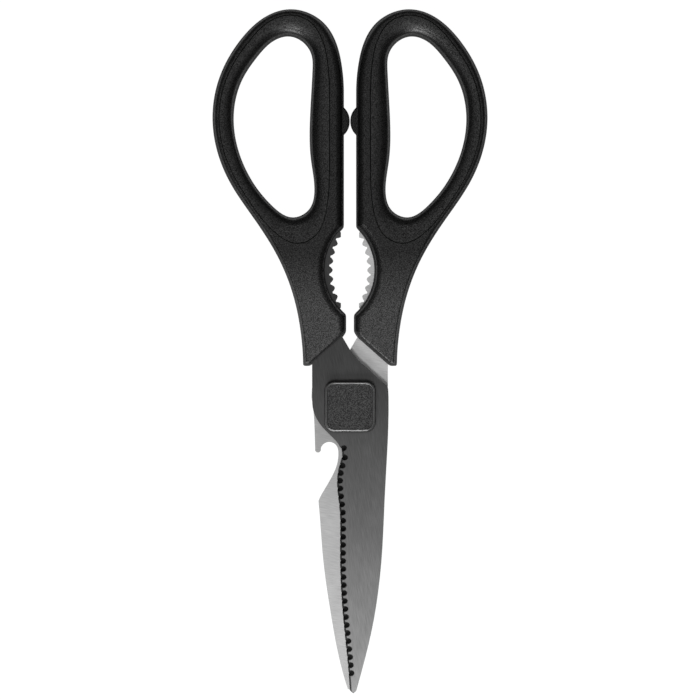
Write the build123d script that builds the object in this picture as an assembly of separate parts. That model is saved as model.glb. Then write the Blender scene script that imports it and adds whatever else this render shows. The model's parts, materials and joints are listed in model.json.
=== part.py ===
from build123d import *
import math
import os

# Kitchen shears lying flat on their back, closed. +Z is up, out of the front, where the square cover
# is. +Y runs from the blade tips to the finger bows and +X to the right, as seen from the front.
# The origin is on the resting plane under the middle of the whole outline.
# Everything is drawn about the pivot, with Z zero on the plane where the two blades meet, and moved
# to the origin when it is written. The rear half is drawn in the front half's place and turned half
# round about Y, which is how the two halves of a pair of shears mirror each other.

# Driving sizes, in millimetres and degrees
blade_reach = 96.3
handle_reach = 133.6
handle_half_span = 46.3
handle_thickness = 12.0
blade_width = 25.6
blade_thickness = 2.5
blade_play = 0.02

# Handles
handle_half_gap = 2.05
land_half_gap = 1.3
land_length = 6.0
handle_draft = 8.0
shell_edge_radius = 0.9
liner_edge_radius = 2.6
neck_wall = 3.0
neck_corner_radius = 1.2

# Nutcracker jaws
jaw_half_opening = 5.85
jaw_radius = 23.6
tooth_count = 9
tooth_pitch = 2.95
tooth_depth = 1.15
tooth_root_radius = 0.45
tooth_tip_width = 0.6
scallop_half_opening = 8.2
scallop_radius = 19.5

# Blade edges
shoulder_radius = 2.0
bevel_width = 0.45
bevel_depth = 1.7
serration_count = 29
serration_radius = 0.85
serration_reach = 1.95
serration_root = 0.15
first_serration_share = 0.007
last_serration_share = 0.93
tang_edge_setback = 3.05
tang_corner_radius = 1.5

# Stop bumpers
bumper_radius = 6.1
bumper_height = 8.0
bumper_inset = 1.8
bumper_gap = 0.2
bumper_share = 0.7178
bumper_edge_radius = 0.5

# Pivot hardware
bolt_diameter = 6.0
bolt_fit = 0.03
bolt_head_diameter = 10.0
bolt_head_height = 1.2
thread_diameter = 5.0
spring_washer_diameter = 9.4
spring_washer_thickness = 0.4
slip_washer_diameter = 15.0
slip_washer_thickness = 0.2
nut_washer_diameter = 12.0
nut_washer_thickness = 0.4
nut_diameter = 11.0
nut_height = 1.7
coin_slot_width = 1.6
coin_slot_depth = 0.8
nut_chamfer = 0.4

# Square pivot cover
cap_size = 17.3
cap_height = 2.5
cap_corner_radius = 3.4
cap_edge_radius = 0.4
cap_border = 0.9
cap_recess = 0.2
cap_clearance = 0.2

# Overrun of every cut past the faces that it goes through
overrun = 1.0

# Outline of the left handle from its neck's outer corner, as shares of the way from there to the
# bow's outer side and top
neck_side_shares = [(0.022, 0.087), (0.094, 0.184), (0.259, 0.296)]

# Finger bow, as shares of the way from the handle's inner edge to its outer side, and of the reach
bow_outer_shares = [
    (0.674, 0.468), (0.875, 0.569), (0.983, 0.670), (0.999, 0.735), (0.954, 0.821),
    (0.791, 0.921), (0.537, 0.991), (0.408, 1.000), (0.270, 0.991), (0.142, 0.962),
    (0.060, 0.917), (0.019, 0.865),
]
bow_inner_straight_share = 0.79
opening_shares = [
    (0.419, 0.931), (0.313, 0.917), (0.248, 0.886), (0.239, 0.846), (0.258, 0.725),
    (0.250, 0.619), (0.225, 0.538), (0.263, 0.497), (0.385, 0.476), (0.548, 0.506),
    (0.700, 0.569), (0.821, 0.670), (0.833, 0.751), (0.774, 0.821), (0.655, 0.881),
    (0.533, 0.920),
]
parting_shares = [
    (0.404, 0.982), (0.259, 0.966), (0.164, 0.920), (0.122, 0.860), (0.108, 0.746),
    (0.109, 0.605), (0.136, 0.488), (0.214, 0.430), (0.348, 0.410), (0.530, 0.440),
    (0.742, 0.511), (0.882, 0.593), (0.950, 0.716), (0.895, 0.849), (0.762, 0.921),
    (0.587, 0.967),
]

# Neck of the handle, as shares of the blade's width
neck_bottom_share = 0.532
land_bottom_share = 0.975
neck_path_shares = [(0.099, 0.905), (0.522, 0.532)]

# Front blade's outline below the pivot, as shares of its width and of the blades' reach
heel_shares = [(-0.497, 0.045), (-0.481, -0.014), (-0.364, -0.071), (-0.163, -0.127)]
heel_end_share = (-0.126, -0.143)
edge_shares = [
    (-0.103, -0.168), (-0.138, -0.205), (-0.170, -0.262), (-0.138, -0.355), (-0.130, -0.466), (-0.120, -0.627),
    (-0.076, -0.777), (-0.018, -0.931),
]
edge_tip_share = (-0.003, -0.990)
tip_share = 0.045
front_spine_shares = [
    (0.506, -0.030), (0.457, -0.309), (0.418, -0.519), (0.386, -0.610), (0.279, -0.788),
    (0.201, -0.875), (0.083, -0.991),
]

# Shoulder and crotch, as shares of the blade's width
shoulder_shares = [(0.506, 0.120), (0.500, 0.255), (0.116, 0.598), (0.007, 0.733)]
crotch_rise_share = 0.215

# Rear blade's back, drawn on the same side as the front blade's
rear_back_shares = [(0.480, -0.015), (0.470, -0.050)]
hook_shares = [(0.458, -0.149), (0.424, -0.161), (0.385, -0.148)]
notch_shares = [(0.345, -0.131), (0.269, -0.124), (0.180, -0.136), (0.152, -0.165), (0.200, -0.225)]
notch_corner_share = (0.414, -0.330)
rear_spine_shares = [
    (0.389, -0.410), (0.364, -0.501), (0.318, -0.610), (0.262, -0.707), (0.192, -0.816),
    (0.030, -0.986),
]

# Hidden tang, as shares of the blade's width and of half the row of teeth, from the jaw's middle
tang_shares = [(0.500, -0.135), (0.380, 0.467), (0.270, 0.820), (0.250, 1.320)]

# Derived sizes
half_thickness = handle_thickness / 2
half_width = blade_width / 2
blade_gap = slip_washer_thickness + 2 * blade_play
blade_inner_face = blade_gap / 2
blade_outer_face = blade_inner_face + blade_thickness
bore_diameter = bolt_diameter + 2 * bolt_fit
neck_side = half_width + neck_wall
neck_bottom = blade_width * neck_bottom_share
land_bottom = blade_width * land_bottom_share
scallop_center = scallop_radius - scallop_half_opening
scallop_foot = math.sqrt(scallop_radius**2 - (scallop_center + land_half_gap) ** 2)
jaw_height = land_bottom + land_length + scallop_foot
jaw_half_length = tooth_count * tooth_pitch / 2
rest_offset = Location((0, (blade_reach - handle_reach) / 2, half_thickness))
rear_turn = Rotation(0, 180, 0)


def bow_points(shares):
    width = handle_half_span - handle_half_gap
    return [(-handle_half_gap - width * x, handle_reach * y) for x, y in shares]


def neck_side_points():
    width = handle_half_span - neck_side
    height = handle_reach - neck_bottom
    return [(-neck_side - width * x, neck_bottom + height * y) for x, y in neck_side_shares]


def blade_points(shares):
    return [(blade_width * x, blade_reach * y) for x, y in shares]


def width_points(shares):
    return [(blade_width * x, blade_width * y) for x, y in shares]


def inset_point(point, before, after, inset):
    """A corner of a clockwise outline, moved inwards from the runs before and after it."""
    first = Vector(before.Y, -before.X)
    second = Vector(after.Y, -after.X)
    return Vector(*point) + (first + second) * (inset / (1 + first.dot(second)))


def inset_along(curve, points, inset):
    """Points of a smooth clockwise curve, moved square to it."""
    tangents = [curve.tangent_at(curve.param_at_point(point)) for point in points]
    return [inset_point(p, t, t, inset) for p, t in zip(points, tangents)]


def round_corners(face, corners, radius):
    """A face with its corners nearest to the given points rounded."""
    picked = [face.vertices().sort_by_distance(corner)[0] for corner in corners]
    return fillet(picked, radius)


def handle_outline(inset, height):
    """Outline of the left handle at a height over its mould's parting plane."""
    neck_corner = (-neck_side, neck_bottom)
    inner_top = (-handle_half_gap, handle_reach * bow_inner_straight_share)
    bow = bow_points(bow_outer_shares)
    outer_points = [neck_corner, *neck_side_points(), *bow, inner_top]
    outer = Spline(*outer_points, tangents=[(0, 1), (0, -1)])
    moved = inset_along(outer, outer_points, inset)
    bends = [(-blade_width * x, blade_width * y) for x, y in neck_path_shares]
    land = [(-land_half_gap, jaw_height), (-land_half_gap, land_bottom)]
    path = [*land, *bends, neck_corner]
    runs = [(Vector(*b) - Vector(*a)).normalized() for a, b in zip(path, path[1:])]
    corners = [inset_point(p, a, b, inset) for p, a, b in zip(path[1:-1], runs, runs[1:])]
    neck = inset_point(neck_corner, runs[-1], Vector(0, 1), inset)
    moved[0] = neck
    inner_x = -handle_half_gap - inset
    land_x = -land_half_gap - inset
    face = make_face(
        Curve()
        + [
            Spline(*moved, tangents=[(0, 1), (0, -1)]),
            Polyline(moved[-1], (inner_x, jaw_height), (land_x, jaw_height), *corners, neck),
        ]
    )
    radius = scallop_radius + inset
    scallop = Pos(scallop_center, jaw_height) * Circle(radius)
    face = (face - scallop).faces().sort_by(SortBy.AREA)[-1]
    ends = [
        (x, jaw_height + side * math.sqrt(radius**2 - (scallop_center - x) ** 2))
        for x, side in ((inner_x, 1), (land_x, -1))
    ]
    face = round_corners(Sketch() + face, [*ends, neck], neck_corner_radius)
    return Pos(0, 0, height) * face


def handle_form():
    """The whole left handle ring, shell and liner in one, drafted both ways from the parting plane."""
    inset = half_thickness * math.tan(math.radians(handle_draft))
    levels = [handle_outline(0, 0), handle_outline(inset, half_thickness)]
    half = loft([level.face() for level in levels], ruled=True)
    points = bow_points(opening_shares)
    curve = Spline(*points, periodic=True)
    wide = make_face(Spline(*inset_along(curve, points, -inset), periodic=True))
    hole = loft([make_face(curve).face(), (Pos(0, 0, half_thickness) * wide).face()], ruled=True)
    half -= hole
    half = fillet(half.faces().sort_by(Axis.Z)[-1].outer_wire().edges(), shell_edge_radius)
    half = fillet(half.faces().sort_by(Axis.Z)[-1].inner_wires()[0].edges(), liner_edge_radius)
    return half + mirror(half, Plane.XY)


def tooth_gap():
    """One gap between two jaw teeth, open towards +X, with its round root's centre at the origin."""
    half_pitch = tooth_pitch / 2
    half_tip = tooth_tip_width / 2
    mouth = tooth_depth - tooth_root_radius
    wedge = make_face(
        Polyline(
            (0, tooth_root_radius), (mouth, half_pitch - half_tip),
            (mouth, half_tip - half_pitch), (0, -tooth_root_radius), close=True,
        )
    )
    return wedge + Circle(tooth_root_radius) + Pos(mouth + overrun / 2, 0) * Rectangle(
        overrun, tooth_pitch - tooth_tip_width
    )


def jaw_cut():
    """What the nutcracker's gap takes off a tang: the bow of the jaw and the gaps between its teeth."""
    center = Pos(jaw_radius - jaw_half_opening, jaw_height)
    cut = center * Circle(jaw_radius)
    step = math.degrees(tooth_pitch / jaw_radius)
    reach = -(jaw_radius + tooth_depth - tooth_root_radius)
    for number in range(tooth_count + 1):
        turn = Rotation(0, 0, (number - tooth_count / 2) * step)
        cut += center * turn * Pos(reach, 0) * tooth_gap()
    return cut


def cutting_edge_points():
    return blade_points([heel_end_share, *edge_shares, edge_tip_share])


def cutting_edge():
    return Spline(*cutting_edge_points())


def blade_plate(back_edges):
    """A blade with its tang and jaw teeth, its back closed by the given edges from shoulder to tip."""
    heel = blade_points(heel_shares)
    edge = cutting_edge()
    shoulder = width_points(shoulder_shares)
    tang = [(-blade_width * x, jaw_height + jaw_half_length * y) for x, y in tang_shares]
    tang_top = (-tang_edge_setback, tang[-1][1])
    crotch_top = (-tang_edge_setback, shoulder[-1][1] + blade_width * crotch_rise_share)
    edges = [
        *back_edges,
        Polyline(*shoulder, crotch_top, tang_top, *reversed(tang), heel[0]),
        Spline(*heel, edge @ 0, tangents=[(0, -1), edge % 0]),
        edge,
    ]
    plate = Sketch() + make_face(Curve() + edges)
    plate = fillet(plate.vertices().sort_by_distance(shoulder[1])[0], shoulder_radius)
    hidden = [plate.vertices().sort_by_distance(point)[0] for point in (tang_top, *tang)]
    plate = fillet(hidden, tang_corner_radius)
    plate -= jaw_cut()
    plate = extrude(plate.faces().sort_by(SortBy.AREA)[-1], blade_thickness)
    plate = Pos(0, 0, blade_inner_face) * plate
    return plate - Cylinder(bore_diameter / 2, blade_outer_face * 2 + overrun)


def front_back_edges():
    start = width_points(shoulder_shares)[0]
    edge_tip = blade_points([edge_tip_share])[0]
    tip = (blade_width * tip_share, -blade_reach)
    spine = Spline(start, *blade_points(front_spine_shares))
    return [spine, Polyline(spine @ 1, tip, edge_tip)]


def rear_back_edges():
    start = width_points(shoulder_shares)[0]
    edge_tip = blade_points([edge_tip_share])[0]
    back = blade_points(rear_back_shares)
    hook = blade_points(hook_shares)
    notch = blade_points(notch_shares)
    corner = blade_points([notch_corner_share])[0]
    spine = Spline(corner, *blade_points(rear_spine_shares))
    return [
        Spline(start, *back, hook[0]),
        ThreePointArc(*hook),
        Spline(hook[-1], *notch, corner),
        spine,
        Line(spine @ 1, edge_tip),
    ]


def serrated(plate):
    """The front blade's edge: a steep bevel, and a row of slanting round scallops ground across it."""
    edge = cutting_edge()
    rise = blade_thickness
    run = serration_reach - serration_root
    slant = Vector(run, rise).normalized()
    length = 2 * math.hypot(run, rise)
    cutters = []
    for number in range(serration_count):
        share = first_serration_share + (last_serration_share - first_serration_share) * (
            number / (serration_count - 1)
        )
        point = edge @ share
        inward = Vector(0, 0, 1).cross(edge % share)
        axis = inward * slant.X + Vector(0, 0, slant.Y)
        lift = inward * -slant.Y + Vector(0, 0, slant.X)
        root = Vector(point.X, point.Y, blade_inner_face) + inward * serration_root
        start = root + lift * serration_radius - axis * overrun
        cutters.append(Plane(start, z_dir=axis) * extrude(Circle(serration_radius), length))
    return plate - cutters


def bevel_side(inset, height):
    """The open side of the cutting edge, up to the edge moved into the blade, at a height."""
    curve = cutting_edge()
    moved = inset_along(curve, cutting_edge_points(), -inset)
    past_tip = moved[-1] + (curve % 1) * overrun
    outer_x = -blade_width
    side = [moved[-1], past_tip, (outer_x, past_tip.Y), (outer_x, moved[0].Y), moved[0]]
    face = make_face(Curve() + [Spline(*moved), Polyline(*side)])
    return (Pos(0, 0, height) * face).face()


def beveled(plate):
    """A blade with its cutting edge ground from its outer face."""
    slope = bevel_width / bevel_depth
    levels = [
        bevel_side(0, blade_outer_face - bevel_depth),
        bevel_side(bevel_width + slope * overrun, blade_outer_face + overrun),
    ]
    return plate - loft(levels, ruled=True)


def bumper():
    """A half-round stop whose inner part sits in a pocket of the handle."""
    apex = -bumper_gap / 2
    center = (apex - bumper_radius, handle_reach * bumper_share)
    depth = handle_half_gap + bumper_inset
    disc = Pos(*center) * Cylinder(bumper_radius, bumper_height)
    disc = fillet(disc.edges().filter_by(GeomType.CIRCLE), bumper_edge_radius)
    return disc & Pos(-depth / 2, center[1]) * Box(depth, 2 * bumper_radius, bumper_height)


def disc_with_bore(diameter, bore, bottom, height):
    ring = Cylinder(diameter / 2, height, align=(Align.CENTER, Align.CENTER, Align.MIN))
    hole = Cylinder(bore / 2, 2 * (height + overrun))
    return Pos(0, 0, bottom) * (ring - hole)


def round_bar(diameter, bottom, top):
    bar = Cylinder(diameter / 2, top - bottom, align=(Align.CENTER, Align.CENTER, Align.MIN))
    return Pos(0, 0, bottom) * bar


def pivot_pieces():
    """Bolt, washers and nut on the pivot axis, from the back of the nut up to the bolt's head."""
    shoulder = -blade_outer_face - blade_play
    nut_face = shoulder - nut_washer_thickness
    nut_back = nut_face - nut_height
    head_bottom = blade_outer_face + spring_washer_thickness
    head_top = head_bottom + bolt_head_height
    bolt = (
        round_bar(bolt_head_diameter, head_bottom, head_top)
        + round_bar(bolt_diameter, shoulder, head_bottom)
        + round_bar(thread_diameter, nut_back + coin_slot_depth, shoulder)
    )
    nut = disc_with_bore(nut_diameter, thread_diameter, nut_back, nut_height)
    nut = chamfer(nut.faces().sort_by(Axis.Z)[0].outer_wire().edges(), nut_chamfer)
    slot = Box(nut_diameter + overrun, coin_slot_width, 2 * coin_slot_depth)
    return {
        "pivot_bolt": bolt,
        "spring_washer": disc_with_bore(
            spring_washer_diameter, bore_diameter, blade_outer_face, spring_washer_thickness
        ),
        "slip_washer": disc_with_bore(
            slip_washer_diameter, bore_diameter, blade_play - blade_inner_face,
            slip_washer_thickness,
        ),
        "nut_washer": disc_with_bore(
            nut_washer_diameter, thread_diameter, nut_face, nut_washer_thickness
        ),
        "pivot_nut": nut - Pos(0, 0, nut_back) * slot,
    }


def pivot_cap():
    """The square cover, hollow over the bolt's head, with a shallow panel inside its border."""
    block = extrude(RectangleRounded(cap_size, cap_size, cap_corner_radius), cap_height)
    block = fillet(block.faces().sort_by(Axis.Z)[-1].edges(), cap_edge_radius)
    panel_size = cap_size - 2 * cap_border
    panel = RectangleRounded(panel_size, panel_size, cap_corner_radius - cap_border)
    block -= Pos(0, 0, cap_height - cap_recess) * extrude(panel, overrun)
    room = spring_washer_thickness + bolt_head_height + cap_clearance
    pocket = Cylinder(bolt_head_diameter / 2 + cap_clearance, 2 * room)
    return Pos(0, 0, blade_outer_face) * (block - pocket)


handle = handle_form()
liner_bound = make_face(Spline(*bow_points(parting_shares), periodic=True))
liner_bound = extrude(liner_bound, half_thickness + overrun, both=True)
liner = handle & liner_bound
shell = handle - liner_bound
stop = bumper()
front_blade = serrated(beveled(blade_plate(front_back_edges())))
rear_blade = beveled(blade_plate(rear_back_edges()))
pieces = {
    "front_blade": front_blade,
    "left_handle": shell - front_blade - stop,
    "left_grip_liner": liner - front_blade,
    "left_bumper": stop,
    "rear_blade": rear_turn * rear_blade,
    "right_handle": rear_turn * (shell - rear_blade - stop),
    "right_grip_liner": rear_turn * (liner - rear_blade),
    "right_bumper": rear_turn * stop,
    "pivot_cap": pivot_cap(),
    **pivot_pieces(),
}

os.makedirs("parts", exist_ok=True)
for name, piece in pieces.items():
    placed = rest_offset * piece
    placed.label = name
    export_step(placed, f"parts/{name}.step")
    print(name, round(placed.volume), len(placed.solids()))
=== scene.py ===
import json
import math

import bmesh
import bpy
import numpy as np
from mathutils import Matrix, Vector, geometry


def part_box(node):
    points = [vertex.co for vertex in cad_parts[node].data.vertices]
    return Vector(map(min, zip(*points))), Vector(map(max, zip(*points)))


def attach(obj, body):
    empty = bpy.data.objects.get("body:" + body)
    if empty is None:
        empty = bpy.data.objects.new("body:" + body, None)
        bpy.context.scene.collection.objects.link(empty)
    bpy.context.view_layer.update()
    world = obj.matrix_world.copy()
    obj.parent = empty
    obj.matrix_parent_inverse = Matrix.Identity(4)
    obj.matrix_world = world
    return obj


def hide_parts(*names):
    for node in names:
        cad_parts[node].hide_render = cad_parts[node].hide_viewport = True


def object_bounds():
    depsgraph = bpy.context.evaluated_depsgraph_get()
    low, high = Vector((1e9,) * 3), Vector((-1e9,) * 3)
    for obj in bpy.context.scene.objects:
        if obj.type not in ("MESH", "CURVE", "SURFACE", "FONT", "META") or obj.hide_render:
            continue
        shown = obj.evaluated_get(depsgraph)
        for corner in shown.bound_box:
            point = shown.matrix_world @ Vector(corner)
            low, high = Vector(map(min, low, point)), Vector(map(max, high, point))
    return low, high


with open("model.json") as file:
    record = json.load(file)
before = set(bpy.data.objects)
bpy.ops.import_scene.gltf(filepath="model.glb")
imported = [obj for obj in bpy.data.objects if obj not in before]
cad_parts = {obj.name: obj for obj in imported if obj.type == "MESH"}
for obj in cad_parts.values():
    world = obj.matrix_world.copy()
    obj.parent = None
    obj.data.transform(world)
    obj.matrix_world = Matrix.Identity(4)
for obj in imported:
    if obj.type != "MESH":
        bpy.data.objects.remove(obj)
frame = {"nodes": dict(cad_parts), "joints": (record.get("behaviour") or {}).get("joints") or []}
cad_low, cad_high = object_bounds()
cap_low, cap_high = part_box("pivot_cap")
nodes = frame["nodes"]
mm = 0.001

# Shapes are drawn in millimetres from the pivot, with Z zero on the middle plane between the blades,
# and moved to the pivot's place in the frame when their meshes are made
pivot_place = Vector([place / mm for place in frame["joints"][0]["pos_m"]])

# Camera: straight above, the finger bows up, the outline filling the photograph as it does there
picture_side = 700
outline_top_row = 9.2
outline_bottom_row = 692.8
camera_height = 1.6
camera_reach = 16.0
sensor_width = 36.0

# Outline of the handles, a hair inside the solid ones at their outer sides
handle_reach = 133.6
handle_half_span = 46.29
half_thickness = 6.0
handle_half_gap = 2.05
handle_draft = math.radians(8)
half_neck = 15.8
blade_width = 25.6
land_half_gap = 1.3
jaw_height = 45.84
jaw_radius = 19.5
jaw_half_opening = 8.2

# How finely the handles are drawn, and how much their corners and edges are evened out
outline_step = 0.3
inset_slack = 0.075
corner_passes = 6
radius_passes = 120
neck_span_points = 12
bow_span_points = 24
jaw_points = 80
edge_steps = 7
liner_rounding_steps = 12
liner_crown_steps = 6

# Rounded edges of the hard shell
neck_edge_radius = 0.75
full_edge_radius = 2.3
least_edge_radius = 0.2
inner_side_width = 11.0
neck_end_height = 50.0
bow_start_height = 64.0

# Groove between the shell and the soft liner, and what the shell's edges keep from its middle
seam_width = 0.17
seam_depth = 0.45
rounding_seam_gap = 0.34
rim_seam_gap = 0.255

# Crowned face of the soft liner, rounded down into the finger opening
liner_crown = 0.9
liner_rounding_width = 2.8
liner_rounding_share = 0.55
liner_rounding_height = 1.8

# Square pivot cover, as large as its solid
cap_half_size = (cap_high.x - cap_low.x) / (2 * mm)
cap_height = (cap_high.z - cap_low.z) / mm
cap_foot = cap_low.z / mm - pivot_place.z
cap_corner_radius = 3.4
cap_corner_steps = 10
cap_side_inset = 0.25
cap_edge_radius = 0.5
cap_lip_width = 0.1
cap_panel_depth = 0.3
cap_rounding_steps = 5

# Smooth shading of every piece made here
merge_distance = 0.001
sharp_angle = math.radians(35)

# Outline shares. The neck's bottom, land and path are shares of the blade's width. The neck's side
# is shares of the way from its outer corner to the bow's outer side and top. The bow, opening and
# seam are shares of the way from the handle's inner edge to its outer side, and of its reach. All
# are the solid handles' shares, but for the seam on the bow's outer side, which follows the photo.
neck_bottom_share = 0.532
land_bottom_share = 0.975
neck_path_shares = [(0.099, 0.905), (0.522, 0.532)]
neck_side_shares = [(0.022, 0.087), (0.094, 0.184), (0.259, 0.296)]
bow_outer_shares = [
    (0.674, 0.468), (0.875, 0.569), (0.983, 0.670), (0.999, 0.735), (0.954, 0.821),
    (0.791, 0.921), (0.537, 0.991), (0.408, 1.000), (0.270, 0.991), (0.142, 0.962),
    (0.060, 0.917), (0.019, 0.865),
]
bow_inner_straight_share = 0.79
opening_shares = [
    (0.419, 0.931), (0.313, 0.917), (0.248, 0.886), (0.239, 0.846), (0.258, 0.725),
    (0.250, 0.619), (0.225, 0.538), (0.263, 0.497), (0.385, 0.476), (0.548, 0.506),
    (0.700, 0.569), (0.821, 0.670), (0.833, 0.751), (0.774, 0.821), (0.655, 0.881),
    (0.533, 0.920),
]
seam_shares = [
    (0.404, 0.982), (0.259, 0.966), (0.164, 0.920), (0.122, 0.860), (0.108, 0.746),
    (0.109, 0.605), (0.136, 0.488), (0.214, 0.430), (0.348, 0.410), (0.530, 0.440),
    (0.715, 0.515), (0.853, 0.593), (0.945, 0.716), (0.856, 0.848), (0.709, 0.920),
    (0.587, 0.961),
]

# Moulded plastic: the grain's noise values between which its colour, sheen and roughness change, the
# stretch up the handles over which its colour and sheen darken as painted shade, and the upright walls,
# which are rougher
plastic_index = 1.75
grain_detail = 2.0
grain_color_places = (0.42, 0.6)
grain_sheen_places = (0.38, 0.64)
grain_rough_places = (0.35, 0.65)
grain_strength = 1.0
painted_shade_rows = (15.0, 33.0)
wall_facing = (0.15, 0.75)
wall_roughness = 0.95

# Steel: the rows along which its colour changes as a painted reflection, its brushed lines and clouds,
# and its upright sides, darkened as painted shade
painted_reflection_rows = (-115.0, 0.0)
brushing_detail = 3.0
brushing_places = (0.3, 0.7)
brushing_strength = 0.25
brushing_depth = 0.01
cloud_turns = (150.0, 60.0, 150.0)
cloud_detail = 2.0
cloud_places = (0.3, 0.7)
painted_shade_facing = (0.75, 0.97)
painted_shade_level = 0.05

# Painted shade: a dark line along the serrated edge, and the rows and columns past which there is none
edge_line_width = 0.5
edge_line_level = 0.05
edge_line_samples = 8
edge_line_match = (0.93, 0.995)
edge_line_columns = (0.9, 1.4)
edge_line_rows = (-33.0, -31.0)

# Floor: pale, white to the camera and in reflections, with the object's soft shadow kept
floor_size = 3.0
floor_drop = 0.02
floor_level = 0.92
floor_roughness = 0.9
floor_glow = 1.1
floor_glow_share = 0.9

# World: dim and white, which fills the shadows
world_level = 0.1


def make_camera():
    """A long lens straight over the shears, whose outline takes the photograph's rows."""
    data = bpy.data.cameras.new("photo_camera")
    camera = bpy.data.objects.new("photo_camera", data)
    bpy.context.scene.collection.objects.link(camera)
    size = cad_high - cad_low
    middle = (cad_high + cad_low) / 2
    pixel = size.y / (outline_bottom_row - outline_top_row)
    rise = (picture_side / 2 - (outline_top_row + outline_bottom_row) / 2) * pixel
    distance = camera_height - middle.z
    data.sensor_width = sensor_width
    data.lens = sensor_width * distance / (picture_side * pixel)
    data.clip_end = camera_reach
    camera.location = (middle.x, middle.y - rise, camera_height)
    bpy.context.scene.camera = camera


# Curves in the plane
def curve_speeds(points, lengths, ends):
    """Speeds at the points of the smooth curve through them, closed unless end speeds are given."""
    count = len(points)
    grid = np.zeros((count, count))
    right = np.zeros((count, 2))
    for i in range(count):
        if ends is not None and i in (0, count - 1):
            grid[i, i] = 1
            right[i] = ends[0] if i == 0 else ends[1]
            continue
        before, after = lengths[i - 1], lengths[i % len(lengths)]
        previous, following = points[i - 1], points[(i + 1) % count]
        grid[i, i - 1] += after
        grid[i, i] += 2 * (before + after)
        grid[i, (i + 1) % count] += before
        right[i] = 3 * (
            after * (points[i] - previous) / before + before * (following - points[i]) / after
        )
    return np.linalg.solve(grid, right)


def smooth_curve(points, spans, ends=None):
    """Points along the smooth curve through some points, with so many to each span."""
    points = np.array(points)
    loop = points if ends is not None else np.vstack([points, points[:1]])
    lengths = np.linalg.norm(np.diff(loop, axis=0), axis=1)
    speeds = curve_speeds(points, lengths, None if ends is None else np.array(ends))
    if ends is None:
        speeds = np.vstack([speeds, speeds[:1]])
    t = np.arange(spans)[:, None] / spans
    run = []
    for i, length in enumerate(lengths):
        places = (2 * t**3 - 3 * t**2 + 1) * loop[i] + (3 * t**2 - 2 * t**3) * loop[i + 1]
        bends = (t**3 - 2 * t**2 + t) * speeds[i] + (t**3 - t**2) * speeds[i + 1]
        run.append(places + length * bends)
    if ends is not None:
        run.append(loop[-1:])
    return np.vstack(run)


def even_loop(points, step):
    """A closed outline with its points spread evenly."""
    loop = np.vstack([points, points[:1]])
    places = np.concatenate([[0], np.cumsum(np.linalg.norm(np.diff(loop, axis=0), axis=1))])
    spots = np.linspace(0, places[-1], int(places[-1] / step), endpoint=False)
    return np.stack([np.interp(spots, places, loop[:, k]) for k in range(2)], axis=1)


def softened(values, passes):
    """A closed row of values averaged with its neighbours, which rounds an outline's corners."""
    for _ in range(passes):
        values = (np.roll(values, 1, axis=0) + 2 * values + np.roll(values, -1, axis=0)) / 4
    return values


def inward(loop):
    """Directions into the area inside a clockwise outline."""
    run = np.roll(loop, -1, axis=0) - np.roll(loop, 1, axis=0)
    run /= np.linalg.norm(run, axis=1)[:, None]
    return np.stack([run[:, 1], -run[:, 0]], axis=1)


def gaps_between(points, others):
    """How far each of some points lies from the nearest of some others."""
    return np.linalg.norm(points[:, None] - others[None], axis=2).min(axis=1)


def inset_loop(loop, amount):
    """A clockwise outline moved inwards, straight across any corner that is tighter than that."""
    moved = loop + inward(loop) * amount[:, None]
    good = gaps_between(moved, loop) > amount - inset_slack
    places = np.arange(len(loop))
    count = len(loop)
    known = np.concatenate([places[good] - count, places[good], places[good] + count])
    for k in range(2):
        moved[:, k] = np.interp(places, known, np.tile(moved[good, k], 3))
    return moved


# Outlines of the left handle on the plane where its mould parts, clockwise
def bow_points(shares):
    width = handle_half_span - handle_half_gap
    return [(-handle_half_gap - width * x, handle_reach * y) for x, y in shares]


def neck_side_points():
    neck_bottom = blade_width * neck_bottom_share
    width = handle_half_span - half_neck
    height = handle_reach - neck_bottom
    return [(-half_neck - width * x, neck_bottom + height * y) for x, y in neck_side_shares]


def jaw_arc():
    """The hollow beside the nutcracker's teeth, from the bow down to the land under it."""
    center_x = jaw_radius - jaw_half_opening
    top_turn = math.acos(-(center_x + handle_half_gap) / jaw_radius)
    end_turn = 2 * math.pi - math.acos(-(center_x + land_half_gap) / jaw_radius)
    turns = np.linspace(top_turn, end_turn, jaw_points)
    across = center_x + jaw_radius * np.cos(turns)
    return np.stack([across, jaw_height + jaw_radius * np.sin(turns)], axis=1)


def handle_loop():
    neck_corner = (-half_neck, blade_width * neck_bottom_share)
    inner_top = (-handle_half_gap, handle_reach * bow_inner_straight_share)
    outer = [neck_corner, *neck_side_points(), *bow_points(bow_outer_shares), inner_top]
    side = smooth_curve(outer, neck_span_points, ends=[(0, 1), (0, -1)])
    bends = [(-blade_width * x, blade_width * y) for x, y in neck_path_shares]
    land = [(-land_half_gap, blade_width * land_bottom_share), *bends]
    return softened(even_loop(np.vstack([side, jaw_arc(), land]), outline_step), corner_passes)


def opening_loop():
    return smooth_curve(bow_points(opening_shares), bow_span_points)


def seam_loop():
    return smooth_curve(bow_points(seam_shares), bow_span_points)


def edge_radii(loop, seam):
    """The top edge's rounding round the outline: small outside the neck, full inside and on the bow."""
    share = np.clip((loop[:, 1] - neck_end_height) / (bow_start_height - neck_end_height), 0, 1)
    share = share**2 * (3 - 2 * share)
    radii = neck_edge_radius + (full_edge_radius - neck_edge_radius) * share
    land_bottom = blade_width * land_bottom_share
    inner = (loop[:, 0] > -inner_side_width) & (loop[:, 1] > land_bottom)
    radii = np.where(inner, full_edge_radius, radii)
    draft = half_thickness * math.tan(handle_draft)
    room = gaps_between(loop, seam) - rounding_seam_gap - draft
    return np.maximum(softened(np.minimum(radii, room), radius_passes), least_edge_radius)


# Meshes: lists of points and faces, in millimetres from the pivot
def add_strips(faces, rings):
    """Four-sided faces between each ring of point numbers and the next, all closed rings."""
    for low, high in zip(rings, rings[1:]):
        for i, j in zip(range(len(low)), [*range(1, len(low)), 0]):
            faces.append((low[i], low[j], high[j], high[i]))


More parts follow.
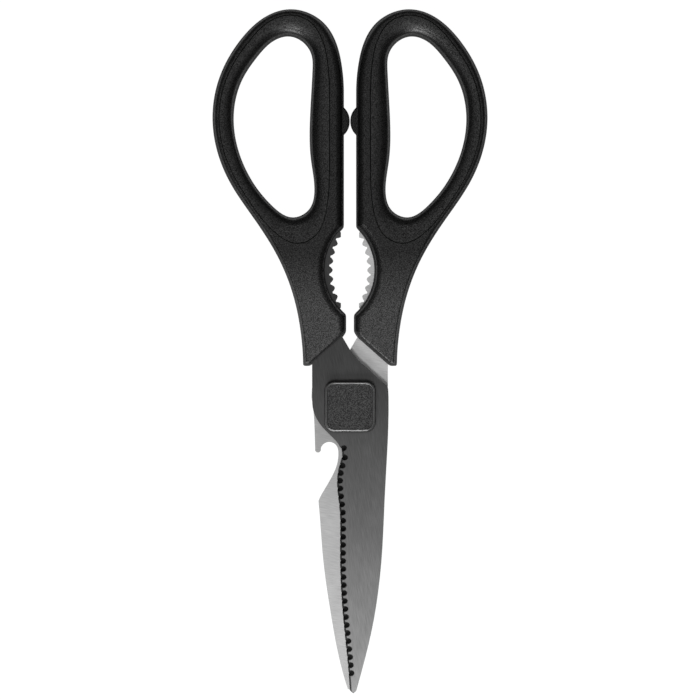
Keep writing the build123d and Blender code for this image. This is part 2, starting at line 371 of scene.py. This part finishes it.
def numbered(points, loop, heights):
    """Adds a ring of points at the given heights and gives their numbers."""
    start = len(points)
    points += [(x, y, z) for (x, y), z in zip(loop, np.broadcast_to(heights, len(loop)))]
    return list(range(start, len(points)))


def edge_rings(loop, radii):
    """Insets and heights up a drafted wall and over its rounded top edge."""
    slope = math.tan(handle_draft)
    wall_top = half_thickness - radii * (1 - math.sin(handle_draft))
    middle = wall_top * slope + radii * math.cos(handle_draft)
    rings = [(np.zeros(len(loop)), np.zeros(len(loop)))]
    rings.append((wall_top * slope / 2, wall_top / 2))
    for turn in np.linspace(handle_draft, math.pi / 2, edge_steps):
        height = half_thickness - radii * (1 - math.sin(turn))
        rings.append((middle - radii * math.cos(turn), height))
    rings.append((middle + seam_width, np.full(len(loop), half_thickness)))
    return rings


def add_half_shell(points, faces, loop, seam, side):
    """The front or back half of the left handle's hard shell, from its middle plane."""
    room = gaps_between(loop, seam) - rim_seam_gap
    rings = []
    for inset, height in edge_rings(loop, edge_radii(loop, seam)):
        ring = inset_loop(loop, np.minimum(inset, room))
        rings.append(numbered(points, ring, side * height))
    seam_out = inset_loop(seam, np.full(len(seam), -seam_width))
    lip = numbered(points, seam_out, side * half_thickness)
    root = numbered(points, seam, side * (half_thickness - seam_depth))
    deep = numbered(points, seam, 0)
    add_strips(faces, rings)
    add_strips(faces, [lip, root, deep])
    outer = [Vector(points[i]) for i in rings[-1]]
    inner = [Vector(points[i]) for i in lip]
    both = rings[-1] + lip
    faces += [tuple(both[i] for i in face) for face in geometry.tessellate_polygon([outer, inner])]


def shell_mesh():
    points, faces = [], []
    loop = handle_loop()
    seam = seam_loop()
    for side in (1, -1):
        add_half_shell(points, faces, loop, seam, side)
    return points, faces


def liner_rings(opening, seam):
    """Plan points and heights of the soft liner's front half, from its opening to the seam."""
    across = seam - opening
    width = np.linalg.norm(across, axis=1)
    across /= width[:, None]
    wall = half_thickness - liner_crown - liner_rounding_height
    draft = math.tan(handle_draft) * wall
    reach = width - draft - seam_width
    rounding = np.minimum(liner_rounding_width, liner_rounding_share * reach)
    rows = [(0, 0), (draft / 2, wall / 2)]
    for turn in np.linspace(0, math.pi / 2, liner_rounding_steps):
        run = rounding * (1 - math.cos(turn))
        fall = liner_crown * (1 - run / reach) ** 2 + liner_rounding_height * (1 - math.sin(turn))
        rows.append((draft + run, half_thickness - fall))
    for step in np.linspace(0, 1, liner_crown_steps)[1:]:
        run = rounding + (reach - rounding) * step
        rows.append((draft + run, half_thickness - liner_crown * (1 - run / reach) ** 2))
    rows.append((width, half_thickness - seam_depth))
    rows.append((width, 0))
    return [(opening + across * np.broadcast_to(d, len(width))[:, None], h) for d, h in rows]


def liner_mesh():
    points, faces = [], []
    rows = liner_rings(opening_loop(), seam_loop())
    for side in (1, -1):
        add_strips(faces, [numbered(points, ring, side * height) for ring, height in rows])
    return points, faces


def rounded_square(inset):
    """The square cover's outline, moved inwards."""
    radius = max(cap_corner_radius - inset, cap_edge_radius)
    middle = cap_half_size - inset - radius
    turns = np.linspace(0, math.pi / 2, cap_corner_steps)
    corners = []
    for quarter in range(4):
        angles = turns + quarter * math.pi / 2
        side_x, side_y = np.sign(np.cos(angles[1])), np.sign(np.sin(angles[1]))
        corner = np.array([side_x, side_y]) * middle
        corners.append(corner + radius * np.stack([np.cos(angles), np.sin(angles)], axis=1))
    return np.vstack(corners)


def cap_mesh():
    """The square cover: drafted sides, a rounded lip and a shallow panel inside it."""
    rows = [(0, 0)]
    crest = cap_side_inset + cap_edge_radius
    for turn in np.linspace(0, math.pi / 2, cap_rounding_steps):
        rise = cap_height - cap_edge_radius * (1 - math.sin(turn))
        rows.append((crest - cap_edge_radius * math.cos(turn), rise))
    inner = crest + cap_lip_width
    for turn in np.linspace(0, math.pi / 2, cap_rounding_steps):
        fall = cap_panel_depth * (1 - math.cos(turn))
        rows.append((inner + cap_panel_depth * math.sin(turn), cap_height - fall))
    rows.append((inner + 2 * cap_panel_depth, cap_height - cap_panel_depth))
    points, faces = [], []
    rings = [numbered(points, rounded_square(inset), cap_foot + height) for inset, height in rows]
    add_strips(faces, rings)
    faces.append(tuple(rings[-1]))
    faces.append(tuple(reversed(rings[0])))
    return points, faces


def make_piece(name, points, faces, turned=False):
    """A smooth closed mesh in the shared frame, turned half round about Y for the rear half."""
    flip = -1 if turned else 1
    places = [(Vector((flip * x, y, flip * z)) + pivot_place) * mm for x, y, z in points]
    data = bpy.data.meshes.new(name)
    data.from_pydata(places, [], faces)
    build = bmesh.new()
    build.from_mesh(data)
    bmesh.ops.remove_doubles(build, verts=build.verts, dist=merge_distance * mm)
    bmesh.ops.recalc_face_normals(build, faces=build.faces)
    build.to_mesh(data)
    build.free()
    piece = bpy.data.objects.new(name, data)
    bpy.context.scene.collection.objects.link(piece)
    data.shade_smooth()
    data.set_sharp_from_angle(angle=sharp_angle)
    return piece


# Node helpers for the materials
def new_material(name):
    material = bpy.data.materials.new(name)
    material.use_nodes = True
    shader = material.node_tree.nodes["Principled BSDF"]
    return material, material.node_tree, shader


def greatest(tree, values):
    """The greatest of some values, through one Maximum node for each more."""
    total = values[0]
    for value in values[1:]:
        node = tree.nodes.new("ShaderNodeMath")
        node.operation = "MAXIMUM"
        tree.links.new(total, node.inputs[0])
        tree.links.new(value, node.inputs[1])
        total = node.outputs[0]
    return total


def spanned(tree, value, span):
    """How far a value has come from the low end of a span to its high end, from 0 to 1."""
    node = tree.nodes.new("ShaderNodeMapRange")
    node.inputs["From Min"].default_value, node.inputs["From Max"].default_value = span
    tree.links.new(value, node.inputs["Value"])
    return node.outputs[0]


def noise(tree, turns, detail, lean=0.0):
    """Noise in the object's own coordinates, in turns per metre, its lines leaning by some degrees."""
    place = tree.nodes.new("ShaderNodeTexCoord")
    turned = tree.nodes.new("ShaderNodeVectorRotate")
    turned.rotation_type = "Z_AXIS"
    turned.inputs["Angle"].default_value = math.radians(lean)
    mapping = tree.nodes.new("ShaderNodeMapping")
    mapping.inputs["Scale"].default_value = turns
    node = tree.nodes.new("ShaderNodeTexNoise")
    node.inputs["Scale"].default_value = 1.0
    node.inputs["Detail"].default_value = detail
    tree.links.new(place.outputs["Object"], turned.inputs["Vector"])
    tree.links.new(turned.outputs["Vector"], mapping.inputs["Vector"])
    tree.links.new(mapping.outputs["Vector"], node.inputs["Vector"])
    return node.outputs["Fac"]


def along(tree, axis, span):
    """How far between two places, in millimetres, a point lies along one axis of the frame."""
    place = tree.nodes.new("ShaderNodeTexCoord")
    split = tree.nodes.new("ShaderNodeSeparateXYZ")
    tree.links.new(place.outputs["Object"], split.inputs[0])
    return spanned(tree, split.outputs[axis], [end * mm for end in span])


def facing(tree, span):
    """How far a surface is from standing upright towards lying flat, by its normal's Z."""
    surface = tree.nodes.new("ShaderNodeNewGeometry")
    split = tree.nodes.new("ShaderNodeSeparateXYZ")
    size = tree.nodes.new("ShaderNodeMath")
    size.operation = "ABSOLUTE"
    tree.links.new(surface.outputs["True Normal"], split.inputs[0])
    tree.links.new(split.outputs["Z"], size.inputs[0])
    return spanned(tree, size.outputs[0], span)


def ramp(tree, factor, places, levels):
    """A ramp between grey levels, each at its place."""
    node = tree.nodes.new("ShaderNodeValToRGB")
    elements = node.color_ramp.elements
    while len(elements) < len(places):
        elements.new(0.5)
    for element, place, level in zip(elements, places, levels):
        element.position = place
        element.color = (level, level, level, 1)
    tree.links.new(factor, node.inputs["Fac"])
    return node.outputs["Color"]


def multiply(tree, first, second):
    """Two colours multiplied."""
    node = tree.nodes.new("ShaderNodeMix")
    node.data_type = "RGBA"
    node.blend_type = "MULTIPLY"
    node.inputs["Factor"].default_value = 1.0
    tree.links.new(first, node.inputs["A"])
    tree.links.new(second, node.inputs["B"])
    return node.outputs["Result"]


def bump(tree, shader, height, strength, depth):
    """Relief that stands for heights, with its depth in millimetres."""
    node = tree.nodes.new("ShaderNodeBump")
    node.inputs["Strength"].default_value = strength
    node.inputs["Distance"].default_value = depth * mm
    tree.links.new(height, node.inputs["Height"])
    tree.links.new(node.outputs["Normal"], shader.inputs["Normal"])


# Materials
def moulded_plastic(name, level, grain_turns, grain_depth, sheen, roughness, painted_shade_share=1.0):
    """Black moulded plastic with a fine spark-eroded grain, its colour and sheen darkened up the
    handles as painted shade.
    """
    material, tree, shader = new_material(name)
    shader.inputs["IOR"].default_value = plastic_index
    fine = noise(tree, (grain_turns,) * 3, grain_detail)
    # Painted shade: colour and sheen darkened over a stretch up the handles
    painted_shade = ramp(tree, along(tree, "Y", painted_shade_rows), (0.0, 1.0), (1.0, painted_shade_share))
    color = ramp(tree, fine, grain_color_places, level)
    tree.links.new(multiply(tree, color, painted_shade), shader.inputs["Base Color"])
    shine = ramp(tree, fine, grain_sheen_places, sheen)
    tree.links.new(multiply(tree, shine, painted_shade), shader.inputs["Specular IOR Level"])
    rough = ramp(tree, fine, grain_rough_places, reversed(roughness))
    walls = ramp(tree, facing(tree, wall_facing), (0.0, 1.0), (wall_roughness, 0.0))
    tree.links.new(greatest(tree, [rough, walls]), shader.inputs["Roughness"])
    bump(tree, shader, fine, grain_strength, grain_depth)
    return material


def edge_shade(tree):
    """Painted shade: dark within a thin line along the serrated edge, and 1 everywhere else."""
    rounded = tree.nodes.new("ShaderNodeBevel")
    rounded.samples = edge_line_samples
    rounded.inputs["Radius"].default_value = edge_line_width * mm
    surface = tree.nodes.new("ShaderNodeNewGeometry")
    match = tree.nodes.new("ShaderNodeVectorMath")
    match.operation = "DOT_PRODUCT"
    tree.links.new(rounded.outputs["Normal"], match.inputs[0])
    tree.links.new(surface.outputs["True Normal"], match.inputs[1])
    line = ramp(tree, match.outputs["Value"], edge_line_match, (edge_line_level, 1.0))
    past = [along(tree, "X", edge_line_columns), along(tree, "Y", edge_line_rows)]
    return greatest(tree, [line, *past])


def brushed_steel(name, places, levels, line_turns, lean, contrast, roughness, serrated=False):
    """Ground steel: its colour changes down the blade as a painted reflection, fine lines cross it, and
    its upright sides are darkened as painted shade.
    """
    material, tree, shader = new_material(name)
    shader.inputs["Metallic"].default_value = 1.0
    # Painted reflection: colour lighter or darker down the blade
    level = ramp(tree, along(tree, "Y", painted_reflection_rows), places, levels)
    fine = noise(tree, line_turns, brushing_detail, lean)
    scratches = ramp(tree, fine, brushing_places, (1 - contrast, 1.0))
    # Painted shade: steep and upright faces, the ground sides and scallops, darkened in colour
    sides = ramp(tree, facing(tree, painted_shade_facing), (0.0, 1.0), (painted_shade_level, 1.0))
    color = multiply(tree, multiply(tree, level, scratches), sides)
    # Painted shade along the serrated edge
    if serrated:
        color = multiply(tree, color, edge_shade(tree))
    tree.links.new(color, shader.inputs["Base Color"])
    rough = ramp(tree, noise(tree, cloud_turns, cloud_detail), cloud_places, roughness)
    tree.links.new(rough, shader.inputs["Roughness"])
    bump(tree, shader, fine, brushing_strength, brushing_depth)
    return material


def floor_paper():
    """Pale paper that glows white, in part, to the camera and in reflections."""
    material, tree, shader = new_material("floor_paper")
    shader.inputs["Base Color"].default_value = (floor_level, floor_level, floor_level, 1)
    shader.inputs["Roughness"].default_value = floor_roughness
    path = tree.nodes.new("ShaderNodeLightPath")
    rays = ("Is Camera Ray", "Is Glossy Ray", "Is Transmission Ray")
    seen = greatest(tree, [path.outputs[ray] for ray in rays])
    share = ramp(tree, seen, (0.0, 1.0), (0.0, floor_glow_share))
    glow = tree.nodes.new("ShaderNodeEmission")
    glow.inputs["Strength"].default_value = floor_glow
    mix = tree.nodes.new("ShaderNodeMixShader")
    tree.links.new(share, mix.inputs[0])
    tree.links.new(shader.outputs[0], mix.inputs[1])
    tree.links.new(glow.outputs[0], mix.inputs[2])
    tree.links.new(mix.outputs[0], tree.nodes["Material Output"].inputs["Surface"])
    return material


# Stage
def make_floor():
    data = bpy.data.meshes.new("floor")
    half = floor_size / 2
    corners = [(-half, -half, 0), (half, -half, 0), (half, half, 0), (-half, half, 0)]
    data.from_pydata(corners, [], [(0, 1, 2, 3)])
    data.materials.append(floor_paper())
    floor = bpy.data.objects.new("floor", data)
    floor.location.z = cad_low.z - floor_drop * mm
    bpy.context.scene.collection.objects.link(floor)


def soft_box(name, place, size, brightness):
    """An area lamp of a given brightness at a place, turned to the middle of the shears."""
    data = bpy.data.lights.new(name, "AREA")
    data.shape = "RECTANGLE"
    data.size, data.size_y = size
    data.energy = brightness * math.pi * data.size * data.size_y
    lamp = bpy.data.objects.new(name, data)
    lamp.location = place
    lamp.rotation_mode = "QUATERNION"
    lamp.rotation_quaternion = (-Vector(place)).to_track_quat("-Z", "Y")
    bpy.context.scene.collection.objects.link(lamp)


def make_lights():
    soft_box("key_box", place=(-0.2, -0.8, 2.0), size=(0.5, 0.5), brightness=12.5)
    soft_box("top_box", place=(0.0, 0.0, 2.2), size=(1.2, 1.2), brightness=0.35)
    soft_box("far_box", place=(0.0, 0.8, 2.0), size=(0.5, 0.5), brightness=1.8)
    soft_box("near_box", place=(-0.3, -1.3, 0.9), size=(1.0, 0.5), brightness=10.0)


def make_world():
    world = bpy.data.worlds.new("studio")
    world.use_nodes = True
    back = world.node_tree.nodes["Background"]
    back.inputs["Color"].default_value = (1.0, 1.0, 1.0, 1)
    back.inputs["Strength"].default_value = world_level
    bpy.context.scene.world = world


# Pieces
def paint(piece, material):
    piece.data.materials.clear()
    piece.data.materials.append(material)


def stand_for(piece, node, body):
    """Puts a piece in a solid's place: on its body, with the solid hidden."""
    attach(piece, body)
    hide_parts(node)


def dress_handles():
    """Both hard shells and both soft liners. The bumpers keep their solids."""
    shell = moulded_plastic(
        "handle_grain", level=(0.0, 0.012), grain_turns=3400.0, grain_depth=0.03,
        sheen=(0.18, 0.88), roughness=(0.38, 0.5), painted_shade_share=0.43,
    )
    liner = moulded_plastic(
        "liner_satin", level=(0.0, 0.006), grain_turns=3400.0, grain_depth=0.018,
        sheen=(0.1, 0.48), roughness=(0.33, 0.42),
    )
    rubber = moulded_plastic(
        "bumper_rubber", level=(0.0, 0.004), grain_turns=3000.0, grain_depth=0.02,
        sheen=(0.05, 0.3), roughness=(0.5, 0.6),
    )
    forms = (
        ("handle", shell_mesh(), "handle_shell", shell),
        ("grip_liner", liner_mesh(), "grip_liner", liner),
    )
    for side, body in (("left", "front_half"), ("right", "rear_half")):
        for part, form, slot, material in forms:
            piece = make_piece(f"{side}_{part}_form", *form, turned=side == "right")
            paint(piece, material)
            stand_for(piece, f"{side}_{part}", body)
        paint(nodes[f"{side}_bumper"], rubber)


def paint_lip_highlight(cover, material):
    """Gives the cover's raised lip, its highest faces, a lighter colour that is a painted highlight,
    with more sheen and less roughness.
    """
    cover.data.materials.append(material)
    lip_foot = pivot_place.z + cap_foot + cap_height - cap_panel_depth / 2
    for face in cover.data.polygons:
        if max(cover.data.vertices[i].co.z for i in face.vertices) > lip_foot * mm:
            face.material_index = 1


def dress_cap():
    face = moulded_plastic(
        "cap_grain", level=(0.0, 0.01), grain_turns=4200.0, grain_depth=0.015,
        sheen=(0.11, 0.7), roughness=(0.38, 0.48),
    )
    # Painted highlight: the lip's lighter colour, with a real smoother polish
    lip = moulded_plastic(
        "cap_lip_highlight", level=(0.03, 0.04), grain_turns=3200.0, grain_depth=0.005,
        sheen=(0.8, 1.0), roughness=(0.28, 0.34),
    )
    cover = make_piece("pivot_cap_form", *cap_mesh())
    paint(cover, face)
    paint_lip_highlight(cover, lip)
    stand_for(cover, "pivot_cap", "front_half")


def dress_steel():
    """Paints the solids of the blades and of the pivot's hardware."""
    # The places and levels of each steel are its painted reflection down the blade
    front = brushed_steel(
        "front_steel", places=(0.0, 0.13, 0.27, 0.42, 0.56, 0.71, 0.9, 1.0),
        levels=(0.525, 0.405, 0.33, 0.25, 0.19, 0.15, 0.1, 0.09),
        line_turns=(3600.0, 220.0, 3600.0), lean=-10.0, contrast=0.25,
        roughness=(0.54, 0.6), serrated=True,
    )
    rear = brushed_steel(
        "rear_steel", places=(0.0, 0.5, 0.76, 0.93, 1.0), levels=(0.7, 0.64, 0.54, 0.75, 0.75),
        line_turns=(260.0, 4600.0, 4600.0), lean=12.0, contrast=0.2, roughness=(0.54, 0.6),
    )
    hardware = brushed_steel(
        "hardware_steel", places=(0.0, 1.0), levels=(0.6, 0.62),
        line_turns=(900.0, 900.0, 900.0), lean=0.0, contrast=0.2, roughness=(0.3, 0.4),
    )
    paint(nodes["front_blade"], front)
    paint(nodes["rear_blade"], rear)
    for node in ("pivot_bolt", "spring_washer", "slip_washer", "nut_washer", "pivot_nut"):
        paint(nodes[node], hardware)


make_camera()
make_floor()
make_lights()
make_world()
dress_handles()
dress_cap()
dress_steel()

bpy.context.scene.view_settings.view_transform = "Standard"
